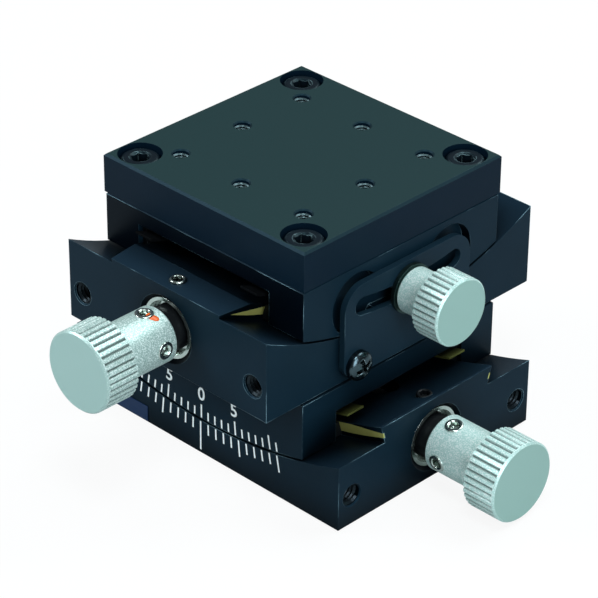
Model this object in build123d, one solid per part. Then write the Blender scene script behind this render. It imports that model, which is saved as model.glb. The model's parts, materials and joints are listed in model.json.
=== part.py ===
from build123d import *
from dataclasses import dataclass
from math import atan, cos, degrees, floor, pi, radians, sqrt, tan
import os

# Goniometer stage: two curved dovetail slides stacked at right angles under one table plate.
# Millimetres, +Z up, origin at the centre of the lower base's underside.
# Each unit is modelled in a frame of its own: slide along X, tilt axis along Y, base on Z = 0,
# drive knob towards +X, clamp towards +Y and scale face towards -Y.

# Stack heights and the common centre of rotation
lower_unit_height = 22.0
upper_unit_height = 22.1
table_thickness = 7.5
centre_above_table = 50.0
table_height = lower_unit_height + upper_unit_height + table_thickness
centre_height = table_height + centre_above_table

# Base blocks
base_length = 66.4
base_width = 49.0
base_height = 16.6
lower_floor = 7.2
upper_floor = 7.8
edge_chamfer = 0.4

# Dovetail ridge on the base
ridge_height = 3.3
ridge_side_margin = 10.3
ridge_undercut = 1.0

# Brass strips let into the ridge's flanks
strip_foot = 1.0
strip_top_margin = 0.2
strip_thickness = 0.3
strip_flat_height = 14.05
strip_flat_angle = 10.0

# Stage blocks
stage_side_inset = 0.2
slide_gap = 0.3
stage_top_chamfer = 0.5
groove_beside_ridge = 1.9
groove_depth = 6.0

# Brass gibs and thin brass leaves in the stage's groove
gib_clearance = 0.12
gib_lip = 1.1
gib_end_inset = 1.0
leaf_depth = 0.9
leaf_thickness = 0.4
leaf_width = 4.0
leaf_overhang = 1.7

# Travel of each slide to either side
travel_angle = 10.0

# Worm drive
drive_height = 8.2
tooth_module = 0.8
pressure_angle = 20.0
flank_play = 0.1
tooth_bottom_play = 0.2
worm_pitch_radius = 4.2
worm_turns = 4
rack_width = 7.0
rack_back = 1.3
rack_angle_past_travel = 5.0
worm_cavity_clearance = 0.4
journal_radius = 3.0
running_clearance = 0.05
thread_runout = 1.0

# Bushes of the worm shaft
bush_radius = 5.7
bush_mouth_chamfer = 0.8
bush_inset = 0.5
front_bush_length = 7.5
rear_bush_length = 6.0
bush_rim = 0.65
bush_recess = 1.5
shaft_rear_inset = 0.7
spacer_radius = 4.2
spacer_clearance = 0.1
collar_radius = 4.4
collar_length = 1.6
collar_clearance = 0.15

# Set screw that locks the front bush through the ridge
lock_screw_inset = 2.6
lock_screw_stand = 0.4

# Drive knob
knob_hub_radius = 5.2
knob_end_clearance = 1.8
knob_hub_length = 11.3
knob_radius = 7.5
knob_rim_length = 6.8
knob_front_lip = 0.5
knob_edge_chamfer = 0.3
knob_knurls = 38
knurl_depth = 0.35
knurl_half_width = 0.3
knurl_floor = 0.1
knob_bore_end = 2.0
knob_screw_inset = 3.0
lower_knob_turn = 100.0
upper_knob_turn = 0.0

# Clamp plate on the base's side
plate_thickness = 1.2
plate_bottom = 1.3
plate_top = 19.0
plate_top_radius = 4.7
plate_bottom_radius = 2.7
plate_end_margin = 2.5
plate_screw_margin = 3.1
plate_screw_height = 3.5
slot_above_rail = 5.8
slot_half_width = 1.75

# Pockets behind the clamp plate
pocket_radius = 5.9
pocket_depth = 2.0
pocket_channel_width = 5.0

# Clamp knob
clamp_stud_radius = 1.5
clamp_stud_inset = 6.5
washer_radius = 4.6
washer_thickness = 0.8
washer_clearance = 0.1
clamp_hub_radius = 4.25
clamp_hub_length = 5.7
clamp_knob_radius = 6.27
clamp_rim_length = 5.6
clamp_knurls = 34

# Screws and holes
block_screw_margin = 4.5
cap_screw_radius = 2.0
cap_head_radius = 3.5
cap_head_height = 4.0
cap_head_chamfer = 0.5
cap_socket_width = 3.0
cap_socket_depth = 2.0
cap_screw_length = 10.0
cap_hole_radius = 2.25
base_counterbore_radius = 3.8
table_counterbore_radius = 4.0
table_head_depth = 0.6
base_head_seat = 4.0
tapped_depth = 8.0
end_hole_radius = 2.0
end_hole_depth = 8.0
end_hole_margin = 3.3
end_hole_height = 6.2
table_hole_radius = 1.5
table_hole_pitch = 15.0
hole_chamfer = 0.25
set_screw_radius = 1.5
set_screw_length = 3.0
set_socket_width = 1.5
set_socket_depth = 1.2
pan_screw_radius = 1.5
pan_screw_length = 5.0
pan_head_radius = 2.75
pan_head_height = 2.0
pan_recess_width = 0.9
pan_recess_length = 3.0
pan_recess_depth = 1.0

# Bare foil plate at the lower left of the scale face
foil_length = 17.0
foil_end_margin = 1.7
foil_bottom = 0.6
foil_top = 3.7
foil_thickness = 0.15

# Reach of cutting shapes past what they cut, and of swept shapes to either side
reach = 2.0
sweep_half_angle = 40.0


@dataclass(frozen=True)
class Unit:
    """One curved slide: its name, where it stands and the sizes that differ between the two."""

    name: str
    bottom: float
    height: float
    floor: float
    turn: float
    knob_turn: float

    @property
    def centre(self):
        """Height of the tilt axis above the unit's base."""
        return centre_height - self.bottom

    @property
    def rail_radius(self):
        return self.centre - self.floor

    @property
    def ridge_radius(self):
        return self.rail_radius - ridge_height

    @property
    def stage_radius(self):
        return self.rail_radius - slide_gap

    @property
    def ceiling_radius(self):
        return self.stage_radius - groove_depth

    @property
    def rack_pitch_radius(self):
        return self.centre - drive_height - worm_pitch_radius

    @property
    def slot_radius(self):
        return self.rail_radius - slot_above_rail

    @property
    def tilt_axis(self):
        return Axis((0, 0, self.centre), (0, 1, 0))

    @property
    def place(self):
        return Location((0, 0, self.bottom), (0, 0, self.turn))

    def height_on_arc(self, radius, station):
        """Height at which an arc about the tilt axis passes a station along the slide."""
        return self.centre - sqrt(radius**2 - station**2)


LOWER = Unit("lower", 0.0, lower_unit_height, lower_floor, 0.0, lower_knob_turn)
UPPER = Unit("upper", lower_unit_height, upper_unit_height, upper_floor, -90.0, upper_knob_turn)

# Values that follow from the sizes above
axial_pitch = pi * tooth_module
dedendum = tooth_module + tooth_bottom_play
worm_root_radius = worm_pitch_radius - dedendum
lead_angle = degrees(atan(axial_pitch / (2 * pi * worm_pitch_radius)))
drive_plane = Plane(origin=(0, 0, drive_height), x_dir=(0, 0, 1), z_dir=(1, 0, 0))
base_end = base_length / 2
base_side = base_width / 2
ridge_half_width = base_side - ridge_side_margin
groove_half_width = ridge_half_width + groove_beside_ridge
stage_side = base_side - stage_side_inset
stage_width = 2 * stage_side
plate_face = base_side + plate_thickness
knob_hub_start = base_end + knob_end_clearance
knob_rim_start = knob_hub_start + knob_hub_length
lock_screw_station = base_end - bush_inset - lock_screw_inset
washer_start = plate_face + washer_clearance
end_hole_offset = base_side - end_hole_margin
table_seat_height = table_height - table_head_depth - cap_head_height
block_screw_spacing = base_width - 2 * block_screw_margin
block_screw_spots = GridLocations(block_screw_spacing, block_screw_spacing, 2, 2)


def arc_sweep(unit, section, half_angle=sweep_half_angle):
    """Sweeps a section of (across, radius) corners about the unit's tilt axis."""
    corners = [(0, across, unit.centre - radius) for across, radius in section]
    face = make_face(Polyline(*corners, close=True)).rotate(unit.tilt_axis, -half_angle)
    return revolve(face, unit.tilt_axis, 2 * half_angle)


def turned(plane, outline):
    """Turns an outline of (station, radius) corners about the plane's normal."""
    stations = [station for station, _ in outline]
    corners = [(0, 0, stations[0])]
    corners += [(radius, 0, station) for station, radius in outline]
    corners += [(0, 0, stations[-1])]
    return plane * revolve(make_face(Polyline(*corners, close=True)), Axis.Z)


def rod(plane, radius, start, end):
    """A straight round bar or bore between two stations on the plane's normal."""
    return turned(plane, [(start, radius), (end, radius)])


def both_sides(solid):
    """The solid and its mirror image across the slide's long middle plane."""
    return solid + mirror(solid, Plane.XZ)


def between_ends(solid, half_length, unit):
    """The part of a swept solid that lies between two upright end planes."""
    return solid & Box(2 * half_length, 2 * base_width, 4 * unit.centre)


def slide_surface_section(unit):
    """Section of the space above the rails and round the dovetail ridge."""
    side = base_side + reach
    foot = ridge_half_width - ridge_undercut
    top = unit.rail_radius - base_height
    return [
        (-side, unit.rail_radius),
        (-foot, unit.rail_radius),
        (-ridge_half_width, unit.ridge_radius),
        (ridge_half_width, unit.ridge_radius),
        (foot, unit.rail_radius),
        (side, unit.rail_radius),
        (side, top),
        (-side, top),
    ]


def flank_position(unit, radius):
    """Half width of the ridge at a radius, on its undercut flank."""
    share = (unit.rail_radius - radius) / ridge_height
    return ridge_half_width - ridge_undercut * (1 - share)


def slide_strips(unit):
    """Two brass strips flush with the ridge's flanks, cut to a straight slope towards each end."""
    low = unit.rail_radius - strip_foot
    high = unit.ridge_radius + strip_top_margin
    section = [
        (flank_position(unit, low), low),
        (flank_position(unit, high), high),
        (flank_position(unit, high) - strip_thickness, high),
        (flank_position(unit, low) - strip_thickness, low),
    ]
    strip = between_ends(arc_sweep(unit, section), base_end, unit)
    flat_start = sqrt(high**2 - (unit.centre - strip_flat_height) ** 2)
    run = base_end + reach - flat_start
    wedge = Polyline(
        (flat_start, strip_flat_height),
        (flat_start + run, strip_flat_height + run * tan(radians(strip_flat_angle))),
        (flat_start + run, unit.centre),
        (flat_start, unit.centre),
        close=True,
    )
    above = extrude(Plane.XZ * make_face(wedge), base_width / 2, both=True)
    above += mirror(above, Plane.YZ)
    return both_sides(strip - above)


def cap_screw_hole(depth_plane, counterbore_radius, seat):
    """Through hole and counterbore for a cap screw, with the head's seat at a height."""
    through = rod(depth_plane, cap_hole_radius, -reach, seat + reach)
    counterbore = rod(depth_plane, counterbore_radius, seat, seat + base_height)
    return through + counterbore


def tapped_hole(plane, radius, depth):
    """Tapped hole into a face: the plane lies on the face and points out of it."""
    outline = [
        (-depth, radius),
        (-hole_chamfer, radius),
        (0, radius + hole_chamfer),
        (reach, radius + hole_chamfer),
    ]
    return turned(plane, outline)


def lock_screw_top(unit):
    """Top of the bush's set screw: just proud of the ridge's top at that station."""
    ridge = unit.height_on_arc(unit.ridge_radius, lock_screw_station)
    return min(ridge, base_height) + lock_screw_stand


def base_block(unit):
    """Base with curved rails, dovetail ridge, drive bore and screw holes."""
    block = Box(base_length, base_width, base_height, align=(Align.CENTER, Align.CENTER, Align.MIN))
    block = chamfer(block.faces().sort_by(Axis.Z)[0].edges(), edge_chamfer)
    block -= arc_sweep(unit, slide_surface_section(unit))
    block -= slide_strips(unit)
    mouth = bush_radius + bush_mouth_chamfer
    cavity = worm_pitch_radius + tooth_module + worm_cavity_clearance
    rear_seat = -base_end + bush_inset + rear_bush_length
    front_seat = base_end - bush_inset - front_bush_length
    bore = [
        (-base_end - reach, mouth),
        (-base_end, mouth),
        (bush_mouth_chamfer - base_end, bush_radius),
        (rear_seat, bush_radius),
        (rear_seat, cavity),
        (front_seat, cavity),
        (front_seat, bush_radius),
        (base_end - bush_mouth_chamfer, bush_radius),
        (base_end, mouth),
        (base_end + reach, mouth),
    ]
    block -= turned(drive_plane, bore)
    lock_plane = Plane(origin=(lock_screw_station, 0, 0))
    block -= rod(lock_plane, set_screw_radius, drive_height, unit.centre)
    for spot in block_screw_spots:
        block -= cap_screw_hole(Plane(spot), base_counterbore_radius, base_head_seat)
    for side in (-1, 1):
        origin = (base_end, side * end_hole_offset, end_hole_height)
        block -= tapped_hole(Plane(origin, z_dir=(1, 0, 0)), end_hole_radius, end_hole_depth)
    for plane in plate_screw_planes(unit):
        block -= rod(plane, pan_screw_radius, -plate_thickness - pan_screw_length, 0)
    return block


def stage_block(unit):
    """Stage with the groove for the ridge, the rack's seat, clamp pockets and tapped holes."""
    low = unit.floor + slide_gap
    block = Box(stage_width, stage_width, unit.height - low, align=(Align.CENTER, Align.CENTER, Align.MIN))
    block = Pos(0, 0, low) * block
    block = chamfer(block.faces().sort_by(Axis.Z)[-1].edges(), stage_top_chamfer)
    side = base_side + reach
    below = unit.rail_radius + base_height
    section = [
        (-side, unit.stage_radius),
        (-groove_half_width, unit.stage_radius),
        (-groove_half_width, unit.ceiling_radius),
        (groove_half_width, unit.ceiling_radius),
        (groove_half_width, unit.stage_radius),
        (side, unit.stage_radius),
        (side, below),
        (-side, below),
    ]
    block -= arc_sweep(unit, section)
    block -= rack_body(unit)
    block -= clamp_pockets(unit)
    stud_end = stage_side - clamp_stud_inset
    block -= rod(clamp_plane(unit), clamp_stud_radius + running_clearance, stud_end - slide_gap, base_side)
    for spot in block_screw_spots:
        block -= rod(Plane(spot).offset(unit.height), cap_screw_radius, -tapped_depth, reach)
    return block


def stage_gibs(unit):
    """Two brass gibs that fill the groove beside the ridge and grip its undercut flanks."""
    low = unit.stage_radius
    top = unit.ridge_radius + gib_clearance
    section = [
        (groove_half_width, low),
        (flank_position(unit, low) + gib_clearance, low),
        (flank_position(unit, top) + gib_clearance, top),
        (groove_half_width - gib_lip, top),
        (groove_half_width - gib_lip, unit.ceiling_radius),
        (groove_half_width, unit.ceiling_radius),
    ]
    return both_sides(between_ends(arc_sweep(unit, section), stage_side - gib_end_inset, unit))


def stage_leaves(unit):
    """Two thin brass leaves that stand off the gibs over the ridge and past the stage's ends."""
    top = unit.ceiling_radius + leaf_depth
    outer = groove_half_width - gib_lip
    section = [
        (outer - leaf_width, top),
        (outer, top),
        (outer, top + leaf_thickness),
        (outer - leaf_width, top + leaf_thickness),
    ]
    return both_sides(between_ends(arc_sweep(unit, section), stage_side + leaf_overhang, unit))


def tooth_half_width(depth):
    """Half width of a rack tooth or worm thread at a depth below its pitch line."""
    return axial_pitch / 4 - flank_play + depth * tan(radians(pressure_angle))


def rack_pitch_angle(unit):
    return degrees(axial_pitch / unit.rack_pitch_radius)


def rack_tooth_pairs(unit):
    """Number of teeth on each side of the middle gap that the travel needs."""
    return floor((travel_angle + rack_angle_past_travel) / rack_pitch_angle(unit))


def rack_body(unit):
    """The rack's curved back without its teeth."""
    root = unit.rack_pitch_radius - dedendum
    half = rack_width / 2
    section = [(-half, root - rack_back), (half, root - rack_back), (half, root), (-half, root)]
    return arc_sweep(unit, section, rack_tooth_pairs(unit) * rack_pitch_angle(unit))


def rack(unit):
    """Curved worm rack: teeth leaning by the worm's lead angle on a curved back."""
    root_height = unit.centre - unit.rack_pitch_radius + dedendum
    tip_height = root_height - dedendum - tooth_module
    embed = rack_back / 2
    root_half = tooth_half_width(dedendum)
    tip_half = tooth_half_width(-tooth_module)
    outline = Polyline(
        (-root_half, root_height + embed),
        (-root_half, root_height),
        (-tip_half, tip_height),
        (tip_half, tip_height),
        (root_half, root_height),
        (root_half, root_height + embed),
        close=True,
    )
    tooth = extrude(Plane.XZ * make_face(outline), rack_width, both=True).rotate(Axis.Z, lead_angle)
    tooth &= Box(rack_width, rack_width, 2 * unit.centre)
    solid = rack_body(unit)
    pairs = rack_tooth_pairs(unit)
    for index in range(-pairs, pairs):
        solid += tooth.rotate(unit.tilt_axis, (index + 0.5) * rack_pitch_angle(unit))
    return solid


def worm_shaft():
    """Worm shaft: journals, plain root and a right-hand thread, its middle crest in the rack's gap."""
    threaded = worm_turns * axial_pitch
    rear_end = -base_end + shaft_rear_inset
    front_end = knob_rim_start - knob_bore_end
    root_end = threaded / 2 + thread_runout
    outline = [
        (rear_end, journal_radius),
        (-root_end, journal_radius),
        (-root_end, worm_root_radius),
        (root_end, worm_root_radius),
        (root_end, journal_radius),
        (front_end, journal_radius),
    ]
    path = Pos(0, 0, -threaded / 2) * Helix(axial_pitch, threaded, worm_root_radius)
    embed = dedendum / 4
    depth = dedendum + tooth_module
    root_half = tooth_half_width(dedendum)
    tip_half = tooth_half_width(-tooth_module)
    profile = Polyline(
        (-embed, -root_half),
        (0, -root_half),
        (depth, -tip_half),
        (depth, tip_half),
        (0, root_half),
        (-embed, root_half),
        close=True,
    )
    start = Plane(origin=path @ 0, x_dir=(1, 0, 0), z_dir=path % 0)
    thread = sweep(start * make_face(profile), path=path, is_frenet=True)
    thread = thread.rotate(Axis.Z, -180 * worm_turns)
    return turned(drive_plane, outline) + drive_plane * thread


def front_bush():
    """Bush at the knob's end, with a raised bright rim round its recessed face."""
    face = base_end - bush_inset
    bush = rod(drive_plane, bush_radius, face - front_bush_length, face)
    bush -= rod(drive_plane, bush_radius - bush_rim, face - bush_recess, face + reach)
    return bush - rod(drive_plane, journal_radius + running_clearance, -base_end, base_end)


def rear_bush():
    """Plain bush at the shaft's far end."""
    face = -base_end + bush_inset
    bush = rod(drive_plane, bush_radius, face, face + rear_bush_length)
    return bush - rod(drive_plane, journal_radius + running_clearance, -base_end, base_end)


def ring_on_shaft(radius, start, end):
    """A ring seated on the worm shaft's journal."""
    ring = rod(drive_plane, radius, start, end)
    return ring - rod(drive_plane, journal_radius, start - reach, end + reach)


def drive_spacer():
    seat = base_end - bush_inset - bush_recess
    return ring_on_shaft(spacer_radius, seat + spacer_clearance, knob_hub_start)


def thrust_collar():
    end = base_end - bush_inset - front_bush_length - collar_clearance
    return ring_on_shaft(collar_radius, end - collar_length, end)


def knurled_knob(plane, shank, radius, count, start, length):
    """A turned shank with a straight-knurled rim, and a smooth lip round the rim's front face."""
    face = start + length
    lip = face - knob_front_lip
    core = radius - knurl_depth - knurl_floor
    front = [
        (start, core),
        (lip, core),
        (lip, radius),
        (face - knob_edge_chamfer, radius),
        (face, radius - knob_edge_chamfer),
    ]
    crest = radius + knurl_depth
    corners = [(radius - knurl_depth, 0), (crest, 2 * knurl_half_width), (crest, -2 * knurl_half_width)]
    notch = make_face(Polyline(*corners, close=True))
    rim = Circle(radius) - [spot * notch for spot in PolarLocations(0, count)]
    return turned(plane, shank + front) + plane.offset(start) * extrude(rim, lip - start)


def knob_screw_planes(unit):
    """Planes on the hub's surface for its two set screws, pointing outwards."""
    planes = []
    for angle in (unit.knob_turn, unit.knob_turn + 90):
        outward = Vector(0, 1, 0).rotate(Axis.X, angle)
        centre = Vector(knob_hub_start + knob_screw_inset, 0, drive_height)
        planes.append(Plane(centre + outward * knob_hub_radius, z_dir=outward))
    return planes


def drive_knob(unit):
    """Aluminium drive knob with a smooth hub and a straight-knurled rim."""
    hub = [
        (knob_hub_start, knob_hub_radius - edge_chamfer),
        (knob_hub_start + edge_chamfer, knob_hub_radius),
        (knob_rim_start, knob_hub_radius),
    ]
    knob = knurled_knob(drive_plane, hub, knob_radius, knob_knurls, knob_rim_start, knob_rim_length)
    knob -= rod(drive_plane, journal_radius, 0, knob_rim_start - knob_bore_end)
    for plane in knob_screw_planes(unit):
        knob -= rod(plane, set_screw_radius, -set_screw_length, reach)
    return knob


def set_screw(plane, top, length):
    """Headless screw with a hexagon socket, its top at a station on the plane's normal."""
    screw = rod(plane, set_screw_radius, top - length, top)
    socket = RegularPolygon(set_socket_width / 2, 6, major_radius=False)
    return screw - extrude(plane.offset(top - set_socket_depth) * socket, set_socket_depth)


def knob_screws(unit):
    length = knob_hub_radius - journal_radius
    return Compound([set_screw(plane, 0, length) for plane in knob_screw_planes(unit)])


def lock_screw(unit):
    """Set screw in the ridge, from the front bush to just above the ridge."""
    top = lock_screw_top(unit)
    plane = Plane(origin=(lock_screw_station, 0, 0))
    screw = set_screw(plane, top, top - drive_height)
    return screw - rod(drive_plane, bush_radius, 0, base_end)


def clamp_plane(unit):
    """Axis of the clamp's stud, pointing out of the clamp side."""
    return Plane(origin=(0, 0, unit.centre - unit.slot_radius), x_dir=(1, 0, 0), z_dir=(0, 1, 0))


def slot_end(unit):
    """Point at the end of the clamp's slot, as it lies on the clamp side."""
    swing = radians(travel_angle)
    across = unit.slot_radius * sqrt(1 - cos(swing) ** 2)
    return across, unit.centre - unit.slot_radius * cos(swing)


def arc_slot(unit, width):
    """Slot along the arc that the clamp's stud travels, end centres at the travel's limits."""
    middle = CenterArc((0, unit.centre), unit.slot_radius, 270 - travel_angle, 2 * travel_angle)
    return SlotArc(middle, width)


def plate_half_length(unit):
    return slot_end(unit)[0] + slot_half_width + plate_end_margin


def plate_screw_planes(unit):
    """Planes on the clamp plate's outer face at its two screws, pointing outwards."""
    offset = plate_half_length(unit) - plate_screw_margin
    spots = [(side * offset, plate_face, plate_screw_height) for side in (-1, 1)]
    return [Plane(spot, x_dir=(1, 0, 0), z_dir=(0, 1, 0)) for spot in spots]


def clamp_plate(unit):
    """Sheet on the base's side with the arc slot for the clamp's stud."""
    height = plate_top - plate_bottom
    outline = Pos(0, plate_bottom + height / 2) * Rectangle(2 * plate_half_length(unit), height)
    upper_corners = outline.vertices().group_by(Axis.Y)[-1]
    outline = fillet(upper_corners, plate_top_radius)
    lower_corners = outline.vertices().group_by(Axis.Y)[0]
    outline = fillet(lower_corners, plate_bottom_radius)
    outline -= arc_slot(unit, 2 * slot_half_width)
    plate = extrude(Plane.XZ.offset(-plate_face) * outline, plate_thickness)
    for plane in plate_screw_planes(unit):
        plate -= rod(plane, pan_screw_radius, -plate_thickness - reach, reach)
    return plate


def pan_screw(plane):
    """Pan-head screw with a cross recess, its head seated on the plane."""
    dome = pan_head_height / 2
    outline = [
        (-plate_thickness - pan_screw_length, pan_screw_radius),
        (0, pan_screw_radius),
        (0, pan_head_radius),
        (dome, pan_head_radius),
        (pan_head_height, pan_head_radius - dome),
    ]
    screw = turned(plane, outline)
    cross = Rectangle(pan_recess_length, pan_recess_width) + Rectangle(pan_recess_width, pan_recess_length)
    return screw - extrude(plane.offset(pan_head_height - pan_recess_depth) * cross, pan_recess_depth)


def plate_screws(unit):
    return Compound([pan_screw(plane) for plane in plate_screw_planes(unit)])


def clamp_pockets(unit):
    """Round pockets in the stage's side at the slot's ends, joined by a narrower channel."""
    across, height = slot_end(unit)
    outline = arc_slot(unit, pocket_channel_width)
    for side in (-1, 1):
        outline += Pos(side * across, height) * Circle(pocket_radius)
    return extrude(Plane.XZ.offset(-stage_side) * outline, pocket_depth)


def clamp_washer(unit):
    plane = clamp_plane(unit)
    washer = rod(plane, washer_radius, washer_start, washer_start + washer_thickness)
    return washer - rod(plane, clamp_stud_radius, 0, base_width)


def clamp_knob(unit):
    """Knurled clamp knob with the stud that screws into the stage through the plate's slot."""
    hub_start = washer_start + washer_thickness
    rim_start = hub_start + clamp_hub_length
    stud_and_hub = [
        (stage_side - clamp_stud_inset, clamp_stud_radius),
        (hub_start, clamp_stud_radius),
        (hub_start, clamp_hub_radius - edge_chamfer),
        (hub_start + edge_chamfer, clamp_hub_radius),
        (rim_start, clamp_hub_radius),
    ]
    plane = clamp_plane(unit)
    return knurled_knob(plane, stud_and_hub, clamp_knob_radius, clamp_knurls, rim_start, clamp_rim_length)


def cap_screw(plane):
    """Socket cap screw with its head seated on the plane."""
    outline = [
        (-cap_screw_length, cap_screw_radius),
        (0, cap_screw_radius),
        (0, cap_head_radius),
        (cap_head_height - cap_head_chamfer, cap_head_radius),
        (cap_head_height, cap_head_radius - cap_head_chamfer),
    ]
    socket = RegularPolygon(cap_socket_width / 2, 6, major_radius=False)
    socket_floor = cap_head_height - cap_socket_depth
    return turned(plane, outline) - extrude(plane.offset(socket_floor) * socket, cap_socket_depth)


def cap_screws(seat_height):
    """Four cap screws on the block screws' square, heads seated at a height."""
    return Compound([cap_screw(Plane(spot).offset(seat_height)) for spot in block_screw_spots])


def table_plate():
    """Square table, as wide as the bases, with counterbored holes and a square of tapped holes."""
    plate = Box(base_width, base_width, table_thickness, align=(Align.CENTER, Align.CENTER, Align.MIN))
    plate = chamfer(plate.faces().sort_by(Axis.Z)[-1].edges(), edge_chamfer)
    plate = Pos(0, 0, table_height - table_thickness) * plate
    for spot in block_screw_spots:
        plate -= rod(Plane(spot).offset(table_seat_height), table_counterbore_radius, 0, table_thickness)
        plate -= rod(Plane(spot).offset(table_seat_height), cap_hole_radius, -table_thickness, reach)
    for spot in GridLocations(table_hole_pitch, table_hole_pitch, 3, 3):
        if spot.position.length > table_hole_pitch / 2:
            plate -= tapped_hole(Plane(spot).offset(table_height), table_hole_radius, 2 * table_thickness)
    return plate


def foil_plate():
    """Thin bare foil on the lower base's scale face."""
    foil = Box(foil_length, foil_thickness, foil_top - foil_bottom, align=(Align.MIN, Align.MAX, Align.MIN))
    return Pos(foil_end_margin - base_end, -base_side, foil_bottom) * foil


def unit_pieces(unit):
    """Every piece of one curved slide by its plain name, in the unit's own frame."""
    return {
        "base": base_block(unit),
        "slide_strips": slide_strips(unit),
        "stage_block": stage_block(unit),
        "stage_gibs": stage_gibs(unit),
        "stage_leaves": stage_leaves(unit),
        "worm_rack": rack(unit),
        "worm_shaft": worm_shaft(),
        "front_bush": front_bush(),
        "rear_bush": rear_bush(),
        "lock_screw": lock_screw(unit),
        "drive_spacer": drive_spacer(),
        "thrust_collar": thrust_collar(),
        "drive_knob": drive_knob(unit),
        "knob_screws": knob_screws(unit),
        "clamp_plate": clamp_plate(unit),
        "plate_screws": plate_screws(unit),
        "clamp_knob": clamp_knob(unit),
        "clamp_washer": clamp_washer(unit),
    }


def main():
    os.makedirs("parts", exist_ok=True)
    pieces = {
        "table_plate": table_plate(),
        "table_screws": cap_screws(table_seat_height),
        "joining_screws": cap_screws(UPPER.bottom + base_head_seat),
        "foil_plate": foil_plate(),
    }
    for unit in (LOWER, UPPER):
        for name, solid in unit_pieces(unit).items():
            pieces[f"{unit.name}_{name}"] = unit.place * solid
    for name, solid in pieces.items():
        export_step(solid, f"parts/{name}.step")


main()
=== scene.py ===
"""Looks of a two-axis goniometer stage: finishes, scale marks, screws, threads, studio and camera."""

import json
import logging
import math
from dataclasses import dataclass, replace
from enum import Enum

import bpy
import numpy as np
from mathutils import Matrix, Vector


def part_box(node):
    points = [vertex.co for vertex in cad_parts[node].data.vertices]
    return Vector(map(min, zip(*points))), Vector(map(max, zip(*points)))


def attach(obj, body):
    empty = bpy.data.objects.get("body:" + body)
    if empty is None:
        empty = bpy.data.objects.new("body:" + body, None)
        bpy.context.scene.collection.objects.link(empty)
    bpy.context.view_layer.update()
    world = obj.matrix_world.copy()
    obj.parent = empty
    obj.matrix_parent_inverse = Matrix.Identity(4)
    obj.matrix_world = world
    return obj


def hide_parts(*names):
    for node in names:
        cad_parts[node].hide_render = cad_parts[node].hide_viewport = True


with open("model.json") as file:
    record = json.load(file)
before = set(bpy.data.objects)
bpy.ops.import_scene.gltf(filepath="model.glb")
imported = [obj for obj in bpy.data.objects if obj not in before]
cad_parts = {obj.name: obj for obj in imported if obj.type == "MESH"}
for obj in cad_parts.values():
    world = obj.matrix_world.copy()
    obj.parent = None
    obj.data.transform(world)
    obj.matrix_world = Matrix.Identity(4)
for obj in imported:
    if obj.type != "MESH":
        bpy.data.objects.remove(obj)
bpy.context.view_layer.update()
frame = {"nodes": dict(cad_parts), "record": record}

LOG = logging.getLogger("goniometer")
MM = 0.001
ALONG_X = (1.0, 0.0, 0.0)
ALONG_Y = (0.0, 1.0, 0.0)
ALONG_Z = (0.0, 0.0, 1.0)
WHITE = (1.0, 1.0, 1.0, 1.0)

Tree, Node, Socket = bpy.types.NodeTree, bpy.types.Node, bpy.types.NodeSocket
# Points as rows of x, y, z in millimetres, and faces as lists of row numbers
Shape = tuple[np.ndarray, list]

# Sockets of a Mix node that mixes colours: the share, the two colours and the output
MIX_SHARE, MIX_A, MIX_B, MIX_RESULT = 0, 6, 7, 2
# Octaves of a metal's slow noise, of its fine noise and of a paint's noise
DRIFT_OCTAVES, GRAIN_OCTAVES, PAINT_OCTAVES = 4.0, 3.0, 3.0
# How far the grain moves the roughness up and down
GLOSS_SPREAD = 0.06
# Likeness of the normal to the face axis at which a face begins and at which it is whole
FACE_SPAN = {"From Min": 0.4, "From Max": 0.98}
# Likeness of the rounded normal to the flat one at which the pale edge line, rubbed and painted highlight,
# begins and at which it is whole
EDGE_SPAN = {"From Min": 0.995, "From Max": 0.9}
# Noise levels between which the pale edge line comes up in a patch, and what is left of it between patches
PATCH_SPAN = {"From Min": 0.47, "From Max": 0.6, "To Min": 0.05}
# Noise levels between which a peak of the grain takes a painted glint
PEAK_SPAN = {"From Min": 0.46, "From Max": 0.6}
# Open share of the surroundings at which a hollow's painted shade is at its darkest
HOLLOW_START = 0.45
# Rise of a direction from which it counts as upright
UPRIGHT = 0.9


def linear(hex_colour: str) -> tuple[float, float, float, float]:
    """Turn an sRGB hex colour into linear values.

    The curve is p / 12.92 up to 0.04045, and ((p + 0.055) / 1.055) to the power 2.4 above it.

    Args:
        hex_colour: Six hex digits after a hash sign.

    Returns:
        Linear red, green, blue and an alpha of one.
    """
    parts = [int(hex_colour[i : i + 2], 16) / 255 for i in (1, 3, 5)]
    red, green, blue = (p / 12.92 if p <= 0.04045 else ((p + 0.055) / 1.055) ** 2.4 for p in parts)
    return (red, green, blue, 1.0)


def add_node(tree: Tree, kind: str, settings: dict | None = None, links: dict | None = None) -> Node:
    """Add a node with its settings and links.

    Args:
        tree: The node tree that takes the node.
        kind: The node's type name, without the ShaderNode that all begin with.
        settings: Values for input sockets, or for the node's own properties.
        links: Input socket to the output socket that feeds it.

    Returns:
        The new node.
    """
    node = tree.nodes.new(f"ShaderNode{kind}")
    for key, value in (settings or {}).items():
        if isinstance(key, int) or key in node.inputs:
            node.inputs[key].default_value = value
        else:
            setattr(node, key, value)
    for key, source in (links or {}).items():
        tree.links.new(source, node.inputs[key])
    return node


def noise(size_mm: float, octaves: float) -> dict[str, float]:
    """Settings of a noise texture: the repeats per metre that a real size gives, and its octaves."""
    return {"Scale": 1.0 / (size_mm * MM), "Detail": octaves}


def new_material(name: str) -> tuple[bpy.types.Material, Tree]:
    """Make an empty node material.

    Args:
        name: The finish's name.

    Returns:
        The material and its cleared node tree.
    """
    material = bpy.data.materials.new(name)
    material.use_nodes = True
    material.node_tree.nodes.clear()
    return material, material.node_tree


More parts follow.
